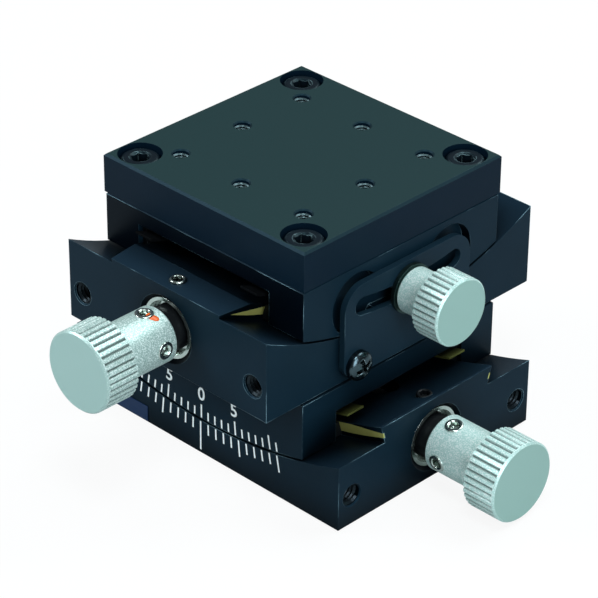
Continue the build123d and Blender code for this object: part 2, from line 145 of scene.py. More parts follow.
@dataclass(frozen=True)
class MetalFinish:
    """A machined metal part's surface, in real sizes.

    The drift is the slow unevenness of a dye or plating bath. The grain is the blasting or
    etching, which breaks the sheen into fine sparkle. It is near 0.1 mm on real parts, and is
    drawn at 0.2 to 0.3 mm so that it shows. The edge radius is the broken sharp edge, and a pale
    line along it stands for rubbing and is also a painted highlight. The tint is the colour of
    the sheen, and the sparkle is how much of that pale colour the grain's peaks show as painted
    glints. Faces square to the face axis take their own colour: the knobs' turned ends, in a
    tone set for the light on them, painted lighter tops on anodised parts, and painted shadow
    on the upper stage block's ends. The hollow shade is painted shade on what is closed in
    within the hollow's width, by the piece's own walls or, if not local, by any.
    """

    name: str
    colour: str
    drift_colour: str
    rub_and_highlight_colour: str
    rub_and_highlight_level: float
    metallic: float
    roughness: float
    drift_mm: float
    edge_mm: float
    specular: float = 0.5
    tint: str = "#ffffff"
    grain_mm: float = 0.3
    grain_height_mm: float = 0.004
    sparkle: float = 0.0
    face_axis: tuple[float, float, float] = (0.0, 0.0, 0.0)
    face_tone_and_light: str = "#000000"
    hollow_shade: float = 0.0
    hollow_mm: float = 0.6
    hollow_local: bool = True

    def build(self) -> bpy.types.Material:
        """Build the finish's material.

        Returns:
            The material with its nodes linked.
        """
        material, tree = new_material(self.name)
        coordinates = add_node(tree, "TexCoord")
        place = coordinates.outputs["Object"]
        face_part = self.face_share(tree, coordinates.outputs["Normal"])
        drift = add_node(tree, "TexNoise", noise(self.drift_mm, DRIFT_OCTAVES), {"Vector": place})
        grain = add_node(tree, "TexNoise", noise(self.grain_mm, GRAIN_OCTAVES), {"Vector": place})
        tone = add_node(
            tree, "Mix",
            {"data_type": "RGBA", MIX_A: linear(self.colour), MIX_B: linear(self.drift_colour)},
            {MIX_SHARE: drift.outputs["Fac"]},
        )
        edge = add_node(tree, "Bevel", {"samples": 4, "Radius": self.edge_mm * MM})
        # Faces square to the face axis take their own colour: painted lighter tops, painted shadow on ends,
        # and the knobs' turned ends
        faced = add_node(
            tree, "Mix", {"data_type": "RGBA", MIX_B: linear(self.face_tone_and_light)},
            {MIX_SHARE: face_part, MIX_A: tone.outputs[MIX_RESULT]},
        )
        # Pale edges, rubbed and painted as highlight, and painted glints on the grain's peaks
        rub_and_highlight = self.rub_and_highlight_share(tree, edge, drift, grain, face_part)
        colour = add_node(
            tree, "Mix", {"data_type": "RGBA", MIX_B: linear(self.rub_and_highlight_colour)},
            {MIX_SHARE: rub_and_highlight, MIX_A: faced.outputs[MIX_RESULT]},
        )
        gloss = add_node(
            tree, "MapRange",
            {"To Min": self.roughness - GLOSS_SPREAD, "To Max": self.roughness + GLOSS_SPREAD},
            {"Value": grain.outputs["Fac"]},
        )
        bump = add_node(
            tree, "Bump", {"Distance": self.grain_height_mm * MM},
            {"Height": grain.outputs["Fac"], "Normal": edge.outputs["Normal"]},
        )
        # Painted shade in the hollows
        base = self.shaded_hollows(tree, colour.outputs[MIX_RESULT])
        sheen = {"Specular IOR Level": self.specular, "Specular Tint": linear(self.tint)}
        shader = add_node(
            tree, "BsdfPrincipled", {"Metallic": self.metallic, **sheen},
            {"Base Color": base, "Roughness": gloss.outputs["Result"], "Normal": bump.outputs["Normal"]},
        )
        add_node(tree, "OutputMaterial", None, {"Surface": shader.outputs["BSDF"]})
        return material

    def face_share(self, tree: Tree, normal: Socket) -> Socket:
        """Share of the face's own colour: one where the normal lies along the face axis, else zero.

        Args:
            tree: The material's node tree.
            normal: The piece's own normal.

        Returns:
            The output socket that holds the share.
        """
        along = add_node(tree, "VectorMath", {"operation": "DOT_PRODUCT", 1: self.face_axis}, {0: normal})
        size = add_node(tree, "Math", {"operation": "ABSOLUTE"}, {0: along.outputs["Value"]})
        share = add_node(tree, "MapRange", FACE_SPAN, {"Value": size.outputs["Value"]})
        return share.outputs["Result"]

    def rub_and_highlight_share(self, tree: Tree, edge: Node, drift: Node, grain: Node, face_part: Socket) -> Socket:
        """Share of the pale colour: the larger of the edges' share and the grain's painted glints.

        An edge is where the rounded normal leaves the flat one. Its pale line stands for rubbing and is also
        a painted highlight, and it comes in patches.

        Args:
            tree: The material's node tree.
            edge: The bevel node that rounds the normals.
            drift: The slow noise that breaks the wear into patches.
            grain: The fine noise whose peaks sparkle.
            face_part: Share of the face colour, where nothing sparkles.

        Returns:
            The output socket that holds the share.
        """
        flat = add_node(tree, "NewGeometry")
        likeness = add_node(
            tree, "VectorMath", {"operation": "DOT_PRODUCT"},
            {0: edge.outputs["Normal"], 1: flat.outputs["True Normal"]},
        )
        line = add_node(
            tree, "MapRange", {**EDGE_SPAN, "To Max": self.rub_and_highlight_level}, {"Value": likeness.outputs["Value"]}
        )
        patches = add_node(tree, "MapRange", PATCH_SPAN, {"Value": drift.outputs["Fac"]})
        edge_rub_and_highlight = add_node(
            tree, "Math", {"operation": "MULTIPLY"},
            {0: line.outputs["Result"], 1: patches.outputs["Result"]},
        )
        peaks = add_node(
            tree, "MapRange", {**PEAK_SPAN, "To Max": self.sparkle}, {"Value": grain.outputs["Fac"]}
        )
        sides = add_node(tree, "Math", {"operation": "SUBTRACT", 0: 1.0}, {1: face_part})
        glints = add_node(
            tree, "Math", {"operation": "MULTIPLY"},
            {0: peaks.outputs["Result"], 1: sides.outputs["Value"]},
        )
        share = add_node(
            tree, "Math", {"operation": "MAXIMUM"},
            {0: edge_rub_and_highlight.outputs["Value"], 1: glints.outputs["Value"]},
        )
        return share.outputs["Value"]

    def shaded_hollows(self, tree: Tree, colour: Socket) -> Socket:
        """Colour with painted shade in grooves, sockets and corners.

        The painted shade follows how closed in a point is within the width of a hollow.

        Args:
            tree: The material's node tree.
            colour: The colour of the open surface.

        Returns:
            The output socket that holds the darkened colour, or the same one without hollows.
        """
        if not self.hollow_shade:
            return colour
        open_share = add_node(
            tree, "AmbientOcclusion",
            {"samples": 8, "only_local": self.hollow_local, "Distance": self.hollow_mm * MM},
        )
        light = add_node(
            tree, "MapRange", {"From Min": HOLLOW_START, "To Min": 1.0 - self.hollow_shade},
            {"Value": open_share.outputs["AO"]},
        )
        shaded = add_node(
            tree, "VectorMath", {"operation": "SCALE"}, {0: colour, "Scale": light.outputs["Result"]},
        )
        return shaded.outputs["Vector"]


@dataclass(frozen=True)
class PaintFinish:
    """A thin opaque paint or print: one colour, slightly uneven, with a soft sheen."""

    name: str
    colour: str
    drift_colour: str
    roughness: float
    drift_mm: float
    specular: float = 0.5

    def build(self) -> bpy.types.Material:
        """Build the paint's material.

        Returns:
            The material with its nodes linked.
        """
        material, tree = new_material(self.name)
        place = add_node(tree, "TexCoord").outputs["Object"]
        drift = add_node(tree, "TexNoise", noise(self.drift_mm, PAINT_OCTAVES), {"Vector": place})
        tone = add_node(
            tree, "Mix",
            {"data_type": "RGBA", MIX_A: linear(self.colour), MIX_B: linear(self.drift_colour)},
            {MIX_SHARE: drift.outputs["Fac"]},
        )
        shader = add_node(
            tree, "BsdfPrincipled", {"Roughness": self.roughness, "Specular IOR Level": self.specular},
            {"Base Color": tone.outputs[MIX_RESULT]},
        )
        add_node(tree, "OutputMaterial", None, {"Surface": shader.outputs["BSDF"]})
        return material


Finish = MetalFinish | PaintFinish

# Black anodised aluminium, blue-black with a silky sheen, pale edges both rubbed and painted as highlight,
# and tops painted slightly paler as lit from above
BLACK_ANODISED = MetalFinish(
    "black_anodised", colour="#091a24", drift_colour="#0e212d", rub_and_highlight_colour="#8cb2c0", tint="#74c0f0",
    rub_and_highlight_level=0.95, metallic=0.0, roughness=0.42, specular=0.1, grain_height_mm=0.006, drift_mm=9.0,
    edge_mm=0.16, face_axis=ALONG_Z, face_tone_and_light="#152531",
)
# The same dye on both bases and the lower stage block, with painted shade that is darkest by the slides
BLACK_ANODISED_SHADED = replace(
    BLACK_ANODISED, name="black_anodised_oiled", hollow_shade=0.9, hollow_mm=8.0, hollow_local=False
)
# The same dye on the upper stage block, with its ends painted nearly black as the shadow under the table
BLACK_ANODISED_SHADOW_ENDS = replace(
    BLACK_ANODISED, name="black_anodised_deep", face_axis=ALONG_Y, face_tone_and_light="#01040a"
)
# The same dye on the table, with its top painted lighter, greener and greyer than its sides, for the light
# from above
TABLE_ANODISED = MetalFinish(
    "table_anodised", colour="#04131e", drift_colour="#071724", rub_and_highlight_colour="#6f8e96", tint="#84c0f4",
    rub_and_highlight_level=0.2, metallic=0.0, roughness=0.44, specular=0.1, grain_height_mm=0.006, drift_mm=7.0,
    edge_mm=0.05, face_axis=ALONG_Z, face_tone_and_light="#1d2f30",
)
# Bare flanks of a cut thread, where the dye is thin, in a pale metal with glints painted on its ridges
CUT_THREAD = MetalFinish(
    "cut_thread", colour="#4a5e62", drift_colour="#3a4c50", rub_and_highlight_colour="#c4d8d8",
    rub_and_highlight_level=0.7, metallic=0.7, roughness=0.32, drift_mm=1.5, edge_mm=0.04,
)
# The same in the end holes, painted darker with duller glints as the shade deep in the holes
SHADED_THREAD = replace(
    CUT_THREAD, name="dyed_thread", colour="#17232a", drift_colour="#111c22", rub_and_highlight_colour="#586a70"
)
# Lapped brass of the strips in the dovetails' flanks, olive, painted bright as lit, with pale edges both
# rubbed and painted as highlight
LAPPED_BRASS_LIT = MetalFinish(
    "lapped_brass", colour="#d2d27c", drift_colour="#b8b860", rub_and_highlight_colour="#f0f4bc",
    rub_and_highlight_level=0.6, metallic=0.6, roughness=0.45, grain_mm=0.25, drift_mm=3.0, edge_mm=0.05,
)
# Brass foil of the lower slide's leaves, painted dull as half in shade, with painted shade where it is closed
# in
SHADED_BRASS = MetalFinish(
    "dull_brass", colour="#868c4a", drift_colour="#6c7238", rub_and_highlight_colour="#aeb47c",
    rub_and_highlight_level=0.4, metallic=0.7, roughness=0.5, drift_mm=1.2, edge_mm=0.03,
    hollow_shade=0.9, hollow_mm=3.0, hollow_local=False,
)
# Brass foil of the upper slide's leaves, painted nearly black as the shadow it lies in
BRASS_IN_SHADOW = MetalFinish(
    "smoked_brass", colour="#06080a", drift_colour="#080a0c", rub_and_highlight_colour="#14181a",
    rub_and_highlight_level=0.2, metallic=0.2, roughness=0.5, specular=0.1, drift_mm=1.2, edge_mm=0.03,
)
# Black nickel plating of the cross-recess screws, glossy with hard glints, pale edges painted as highlight,
# and painted shade in the recess
BLACK_NICKEL = MetalFinish(
    "black_nickel", colour="#4c5c62", drift_colour="#38454b", rub_and_highlight_colour="#b4cad0",
    rub_and_highlight_level=0.9, metallic=1.0, roughness=0.22, grain_height_mm=0.006, drift_mm=1.5, edge_mm=0.1,
    hollow_shade=0.9,
)
# Blackened steel of the racks, spacers and gibs, nearly lightless, and of the lower lock screw as painted
# shadow
BLACKENED_STEEL = MetalFinish(
    "blackened_steel", colour="#0a0d10", drift_colour="#0f1316", rub_and_highlight_colour="#39454a",
    rub_and_highlight_level=0.4, metallic=0.3, roughness=0.45, specular=0.3, drift_mm=6.0, edge_mm=0.06,
)
# Ground steel of the worm shafts and thrust collars, mid grey with a clear sheen
GROUND_STEEL = MetalFinish(
    "ground_steel", colour="#9aa3a5", drift_colour="#8a9294", rub_and_highlight_colour="#c4cccc",
    rub_and_highlight_level=0.4, metallic=1.0, roughness=0.3, grain_height_mm=0.003, drift_mm=6.0, edge_mm=0.05,
)
# Bright nickel plating of the bushes and the hubs' set screws, with sharp highlights and painted shade in the
# sockets
BRIGHT_NICKEL = MetalFinish(
    "bright_nickel", colour="#ccd8d4", drift_colour="#b6c2b8", rub_and_highlight_colour="#f0f6f4",
    rub_and_highlight_level=0.6, metallic=1.0, roughness=0.2, grain_height_mm=0.002, drift_mm=1.5, edge_mm=0.06,
    hollow_shade=0.6,
)
# The same plating on the upper lock screw, whose socket is painted nearly black as shade
BRIGHT_NICKEL_SHADED = replace(BRIGHT_NICKEL, name="bright_nickel_oiled", hollow_shade=0.97, hollow_mm=1.3)
# Black oxide on the cap screws: dark, with glossy rims painted pale for rubbing and highlight, and painted
# shade in the sockets
BLACK_OXIDE = MetalFinish(
    "black_oxide", colour="#081017", drift_colour="#0d171f", rub_and_highlight_colour="#8fb0b6", tint="#a4d8de",
    rub_and_highlight_level=0.9, metallic=0.1, roughness=0.32, specular=0.25, grain_mm=0.25, drift_mm=2.0, edge_mm=0.2,
    hollow_shade=0.9, hollow_mm=1.2,
)
# Blasted, clear anodised aluminium of the knobs: sides with painted glints and painted shade in the knurl's
# grooves, and ends turned smooth across X, in a tone set for their light
BLASTED_ALUMINIUM = MetalFinish(
    "blasted_aluminium", colour="#b4dad4", drift_colour="#bee4de", rub_and_highlight_colour="#f0fefa",
    rub_and_highlight_level=0.6, metallic=0.38, roughness=0.4, grain_mm=0.23, grain_height_mm=0.016, sparkle=0.9,
    drift_mm=5.0, edge_mm=0.05, face_axis=ALONG_X, face_tone_and_light="#92b4ac",
    hollow_shade=0.75, hollow_mm=0.9,
)
# The same on the knobs that lie along Y, painted darker with fewer glints and with lighter ends, for the
# light that falls on them
BLASTED_ALUMINIUM_Y = replace(
    BLASTED_ALUMINIUM, name="blasted_aluminium_y", colour="#90aea8", drift_colour="#9ab8b2",
    sparkle=0.65, face_axis=ALONG_Y, face_tone_and_light="#9fbeb9",
)
# Black dyed sheet of the clamp plates, with a pale line along its sheared edge, both rubbed and painted as
# highlight
BLACK_SHEET = MetalFinish(
    "black_sheet", colour="#0f1f29", drift_colour="#132631", rub_and_highlight_colour="#8cb2c0", tint="#7cbcf4",
    rub_and_highlight_level=0.85, metallic=0.0, roughness=0.42, specular=0.11, grain_height_mm=0.005, drift_mm=9.0,
    edge_mm=0.08,
)
# Dull zinc plating of the clamps' washers, greenish grey
ZINC_WASHER = MetalFinish(
    "zinc_washer", colour="#3d524f", drift_colour="#2f4240", rub_and_highlight_colour="#8fa8a2",
    rub_and_highlight_level=0.5, metallic=1.0, roughness=0.35, grain_mm=0.2, grain_height_mm=0.006, drift_mm=2.0,
    edge_mm=0.06,
)
# Blue printed foil of the plate on the lower base, left bare: a deep, soft blue
BLUE_FOIL = PaintFinish(
    "blue_foil", colour="#0f2848", drift_colour="#132e52", roughness=0.5, drift_mm=6.0, specular=0.25
)
# White fill of the scale's engraved marks, crisp and matt on the black
WHITE_FILL = PaintFinish(
    "white_fill", colour="#fafefe", drift_colour="#eef8f8", roughness=0.5, drift_mm=0.8
)
# Orange locking paint beside a hub's set screw, glossy and uneven
LOCKING_PAINT = PaintFinish(
    "locking_paint", colour="#e8681c", drift_colour="#c04a10", roughness=0.25, drift_mm=0.5
)

SLOT_FINISHES = {
    "black_anodised": BLACK_ANODISED,
    "table_anodised": TABLE_ANODISED,
    "brass": LAPPED_BRASS_LIT,
    "blackened_steel": BLACKENED_STEEL,
    "steel": GROUND_STEEL,
    "bright_steel": BRIGHT_NICKEL,
    "black_screw": BLACK_OXIDE,
    "knob_aluminium": BLASTED_ALUMINIUM,
    "black_plate": BLACK_SHEET,
    "washer_steel": ZINC_WASHER,
    "foil": BLUE_FOIL,
}
NODE_FINISHES = {
    "lower_base": BLACK_ANODISED_SHADED,
    "lower_stage_block": BLACK_ANODISED_SHADED,
    "upper_base": BLACK_ANODISED_SHADED,
    "upper_stage_block": BLACK_ANODISED_SHADOW_ENDS,
    "upper_drive_knob": BLASTED_ALUMINIUM_Y,
    "lower_clamp_knob": BLASTED_ALUMINIUM_Y,
    "lower_stage_leaves": SHADED_BRASS,
    "upper_stage_leaves": BRASS_IN_SHADOW,
    # The lower lock screw takes the near-black steel as painted shadow, where the upper one is bright
    "lower_lock_screw": BLACKENED_STEEL,
    "upper_lock_screw": BRIGHT_NICKEL_SHADED,
    "lower_plate_screws": BLACK_NICKEL,
    "upper_plate_screws": BLACK_NICKEL,
}
MARK_FINISHES = (CUT_THREAD, SHADED_THREAD, WHITE_FILL, LOCKING_PAINT)


@dataclass
class PieceMaker:
    """Makes pieces of the object from shapes, in millimetres, and hangs them on bodies."""

    finishes: dict[str, bpy.types.Material]

    def make(
        self, name: str, parts: list[Shape], finish: Finish, body: str, slot: str | None = None
    ) -> bpy.types.Object:
        """Make one mesh piece out of several shapes.

        Args:
            name: The piece's name.
            parts: The shapes that the piece holds.
            finish: The piece's finish.
            body: The CAD body that carries the piece.
            slot: The record's material slot; not used.

        Returns:
            The new object.
        """
        points, faces, start = [], [], 0
        for rows, part_faces in parts:
            points.append(rows)
            faces += [tuple(start + corner for corner in face) for face in part_faces]
            start += len(rows)
        mesh = bpy.data.meshes.new(name)
        mesh.from_pydata((np.concatenate(points) * MM).tolist(), [], faces)
        mesh.materials.append(self.finishes[finish.name])
        mesh.update()
        piece = bpy.data.objects.new(name, mesh)
        bpy.context.scene.collection.objects.link(piece)
        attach(piece, body)
        LOG.info("%s made for %s", name, body)
        return piece


def dress_frame(finishes: dict[str, bpy.types.Material]) -> None:
    """Give every CAD node the finish of its material slot, or its own where it differs.

    Args:
        finishes: Materials by the finish's name.
    """
    for row in frame["record"]["subparts"]:
        node = frame["nodes"][row["node"]]
        finish = NODE_FINISHES.get(row["node"], SLOT_FINISHES[row["material_slot"]])
        node.data.materials.clear()
        node.data.materials.append(finishes[finish.name])


@dataclass(frozen=True)
class Spot:
    """A place on a face: a point in millimetres and the direction that leaves the face."""

    origin: tuple[float, float, float]
    outward: tuple[float, float, float]

    def seat(self, shape: Shape) -> Shape:
        """Carry a shape from the spot's own frame, with Z outward, into the object's frame.

        Args:
            shape: The shape, seated at Z = 0 and pointing up.

        Returns:
            The carried points and the same faces.
        """
        points, faces = shape
        out = np.array(self.outward, float)
        out /= np.linalg.norm(out)
        aside = np.cross(ALONG_Z if abs(out[2]) < UPRIGHT else ALONG_Y, out)
        aside /= np.linalg.norm(aside)
        up = np.cross(out, aside)
        return points @ np.array([aside, up, out]) + np.array(self.origin), faces


def pattern_spots(mount_name: str) -> list[Spot]:
    """Spots of the holes of one of the record's straight or square bolt patterns.

    Args:
        mount_name: Name of the mount in the record.

    Returns:
        A spot for each hole, on the face.
    """
    mount = next(m for m in frame["record"]["mounts"] if m["name"] == mount_name)
    across = [i for i in range(3) if not round(mount["axis"][i])]
    halves = [mount["dims"].get(key, 0.0) / 2 for key in ("spacing_x_mm", "spacing_y_mm")]
    signs = [sorted({-half, half}) for half in halves]
    spots = []
    for first in signs[0]:
        for second in signs[1]:
            origin = [value / MM for value in mount["pos_m"]]
            origin[across[0]] += first
            origin[across[1]] += second
            spots.append(Spot(tuple(origin), tuple(mount["axis"])))
    return spots


def ring_stack(radius: np.ndarray, height: np.ndarray, segments: int) -> Shape:
    """Closed body of stacked rings about Z.

    The point of ring i at angle a = 2 pi j / segments is (r cos a, r sin a, h), with r and h
    from row i of the two arrays.

    Args:
        radius: Ring radii, one column or one for each segment.
        height: Ring heights, in the same form.
        segments: Number of points in a ring.

    Returns:
        The points and the faces.
    """
    rings = len(radius)
    angle = np.linspace(0.0, 2 * np.pi, segments, endpoint=False)
    r = np.broadcast_to(radius, (rings, segments))
    h = np.broadcast_to(height, (rings, segments))
    points = np.stack([r * np.cos(angle), r * np.sin(angle), h], axis=-1).reshape(-1, 3)
    ring, step = np.meshgrid(np.arange(rings - 1), np.arange(segments), indexing="ij")
    following = (step + 1) % segments
    low, high = ring * segments, (ring + 1) * segments
    quads = np.stack([low + step, low + following, high + following, high + step], axis=-1)
    faces = quads.reshape(-1, 4).tolist()
    faces.append(list(range(segments - 1, -1, -1)))
    faces.append(list(range((rings - 1) * segments, rings * segments)))
    return points, faces


def hexagon_radius(angle: np.ndarray, width: float) -> np.ndarray:
    """Distance from the centre to the side of a hexagon, given its width across the flats."""
    return width / 2 / np.cos((angle + np.pi / 6) % (np.pi / 3) - np.pi / 6)


@dataclass(frozen=True)
class SocketScrew:
    """Screw with a hexagon socket: a cap screw, or a headless set screw."""

    shank_radius: float
    shank_length: float
    head_radius: float
    head_height: float
    rim_round: float
    socket_width: float
    socket_depth: float
    socket_mouth: float
    mouth_slope: float = 0.7
    drill_radius_share: float = 0.05
    drill_depth_share: float = 0.2
    rim_steps: int = 5
    segments: int = 48

    def shape(self) -> Shape:
        """Points and faces of the screw, seated at Z = 0 and pointing up.

        The rim is a quarter circle, the socket's mouth a cone that meets the hexagon, and its
        bottom the cone that the drill left.

        Returns:
            The points and the faces.
        """
        angle = np.linspace(0.0, 2 * np.pi, self.segments, endpoint=False)
        turn = np.linspace(0.0, np.pi / 2, self.rim_steps)
        rim_r = self.head_radius - self.rim_round * (1 - np.cos(turn))
        rim_z = self.head_height - self.rim_round * (1 - np.sin(turn))
        hexagon = hexagon_radius(angle, self.socket_width)
        bottom = self.head_height - self.socket_depth
        drill_tip = bottom - self.drill_depth_share * self.socket_width
        rows = [
            (self.shank_radius, -self.shank_length),
            (self.shank_radius, 0.0),
            (self.head_radius, 0.0),
            *zip(rim_r, rim_z),
            (self.socket_mouth, self.head_height),
            (hexagon, self.head_height - (self.socket_mouth - hexagon) * self.mouth_slope),
            (hexagon, bottom),
            (self.drill_radius_share * self.socket_width, drill_tip),
        ]
        radius = np.stack([np.broadcast_to(r, self.segments) for r, _ in rows])
        height = np.stack([np.broadcast_to(z, self.segments) for _, z in rows])
        return ring_stack(radius, height, self.segments)


@dataclass(frozen=True)
class PanScrew:
    """Pan-head screw with a cross recess in a domed head."""

    shank_radius: float = 1.5
    shank_length: float = 6.2
    head_radius: float = 2.75
    head_height: float = 2.0
    side_height: float = 0.75
    recess_reach: float = 1.75
    recess_half_width: float = 0.48
    recess_depth: float = 1.35
    recess_flank: float = 0.16
    recess_end: float = 0.3
    recess_taper: float = 0.45
    pole_gap: float = 0.02
    rings: int = 22
    segments: int = 96

    def recess(self, radius: np.ndarray, angle: np.ndarray) -> np.ndarray:
        """Depth of the cross recess: the deeper of two crossed wedge-shaped arms.

        An arm along u has depth d (1 - taper |u| / reach) inside |v| < half width. Its flanks
        rise over the width of a flank, and it runs out over the length of an end.

        Args:
            radius: Distances from the screw's axis.
            angle: Angles about it.

        Returns:
            The depth at each point.
        """
        x, y = radius * np.cos(angle), radius * np.sin(angle)
        arms = []
        for u, v in ((x, y), (y, x)):
            flank = np.clip((self.recess_half_width - np.abs(v)) / self.recess_flank, 0, 1)
            end = np.clip((self.recess_reach - np.abs(u)) / self.recess_end, 0, 1)
            arms.append(flank * end * (1 - self.recess_taper * np.abs(u) / self.recess_reach))
        return self.recess_depth * np.maximum(*arms)

    def shape(self) -> Shape:
        """Points and faces of the screw, seated at Z = 0 and pointing up.

        The dome is h = side + (height - side) sqrt(1 - (r / R)^2), less the recess, and its last
        ring stops a hair short of the pole.

        Returns:
            The points and the faces.
        """
        angle = np.linspace(0.0, 2 * np.pi, self.segments, endpoint=False)
        side_r = np.array([self.shank_radius, self.shank_radius, self.head_radius])
        side_z = np.array([-self.shank_length, 0.0, 0.0])
        share = np.cos(np.linspace(0.0, np.pi / 2 - self.pole_gap, self.rings))
        dome_r = self.head_radius * share
        dome_z = self.side_height + (self.head_height - self.side_height) * np.sqrt(1 - share**2)
        top_z = dome_z[:, None] - self.recess(dome_r[:, None], angle[None, :])
        low_z = np.broadcast_to(side_z[:, None], (len(side_z), self.segments))
        radius = np.concatenate([side_r, dome_r])[:, None]
        return ring_stack(radius, np.concatenate([low_z, top_z]), self.segments)


@dataclass(frozen=True)
class TappedThread:
    """Thread ridges inside a tapped hole, as one helical rib on the hole's wall."""

    wall_radius: float
    pitch: float
    depth: float
    mouth: float = 0.35
    foot_sink: float = 0.02
    height_share: float = 0.55
    half_width_share: float = 0.45
    steps_per_turn: int = 20

    def shape(self) -> Shape:
        """Points and faces of the rib, with the hole's mouth at Z = 0 and its bottom below.

        A triangle, whose height and half width are shares of the pitch p, is carried along
        (r cos a, r sin a, p a / 2 pi - depth), with its foot sunk a hair into the wall.

        Returns:
            The points and the faces.
        """
        turns = (self.depth - self.mouth - self.pitch) / self.pitch
        steps = int(turns * self.steps_per_turn)
        angle = np.arange(steps + 1) * 2 * np.pi / self.steps_per_turn
        rise = angle / (2 * np.pi) * self.pitch - self.depth + self.pitch / 2
        foot = self.wall_radius + self.foot_sink
        radius = np.array([foot, self.wall_radius - self.height_share * self.pitch, foot])
        offset = np.array([-self.half_width_share, 0.0, self.half_width_share]) * self.pitch
        x = radius[None, :] * np.cos(angle)[:, None]
        y = radius[None, :] * np.sin(angle)[:, None]
        z = rise[:, None] + offset[None, :]
        points = np.stack([x, y, z], axis=-1).reshape(-1, 3)
        last = 3 * steps
        sides = np.array([[0, 1, 4, 3], [1, 2, 5, 4], [2, 0, 3, 5]])
        quads = (sides[None] + np.arange(0, last, 3)[:, None, None]).reshape(-1, 4)
        return points, [[0, 2, 1], [last, last + 1, last + 2], *quads.tolist()]


@dataclass(frozen=True)
class PaintDab:
    """Dab of locking paint on a round hub: an uneven blot with a domed top.

    Its angle is in degrees from the clamp side and its shift in millimetres along the hub.
    """

    angle: float = 73.0
    shift: float = 0.4
    height: float = 0.2
    sink: float = 0.08
    pole_gap: float = 0.05
    rings: int = 7
    segments: int = 20

    def shape(self) -> Shape:
        """Points and faces of the dab, seated at Z = 0 and pointing up.

        The outline at angle a is 1 + 0.2 sin(2 a + 0.6) + 0.14 sin(3 a) mm from the middle, and
        at the share s of the outline the top is at height sqrt(1 - s^2) - sink.

        Returns:
            The points and the faces.
        """
        angle = np.linspace(0.0, 2 * np.pi, self.segments, endpoint=False)
        outline = 1.0 + 0.2 * np.sin(2 * angle + 0.6) + 0.14 * np.sin(3 * angle)
        share = np.cos(np.linspace(0.0, np.pi / 2 - self.pole_gap, self.rings))[:, None]
        top = self.height * np.sqrt(1 - share**2) - self.sink
        return ring_stack(share * outline, top, self.segments)


# M4 cap screw of the table and of the joint between the slides
CAP_SCREW = SocketScrew(
    shank_radius=2.0, shank_length=10.0, head_radius=3.5, head_height=4.0, rim_round=0.75,
    socket_width=3.0, socket_depth=2.0, socket_mouth=1.95,
)
# Set screw of a drive knob's hub
SET_SCREW = SocketScrew(
    shank_radius=1.3, shank_length=1.75, head_radius=1.68, head_height=0.5, rim_round=0.22,
    socket_width=1.75, socket_depth=1.15, socket_mouth=1.14,
)
# Set screw of a dovetail ridge, which locks the front bush
LOCK_SCREW = SocketScrew(
    shank_radius=1.45, shank_length=0.9, head_radius=1.45, head_height=0.4, rim_round=0.25,
    socket_width=1.7, socket_depth=1.0, socket_mouth=1.06,
)
END_THREAD = TappedThread(wall_radius=2.0, pitch=0.7, depth=8.0)
TABLE_THREAD = TappedThread(wall_radius=1.5, pitch=0.5, depth=7.4)
TABLE_MOUNTS = ("table_corner_holes", "table_middle_holes_along_x", "table_middle_holes_along_y")


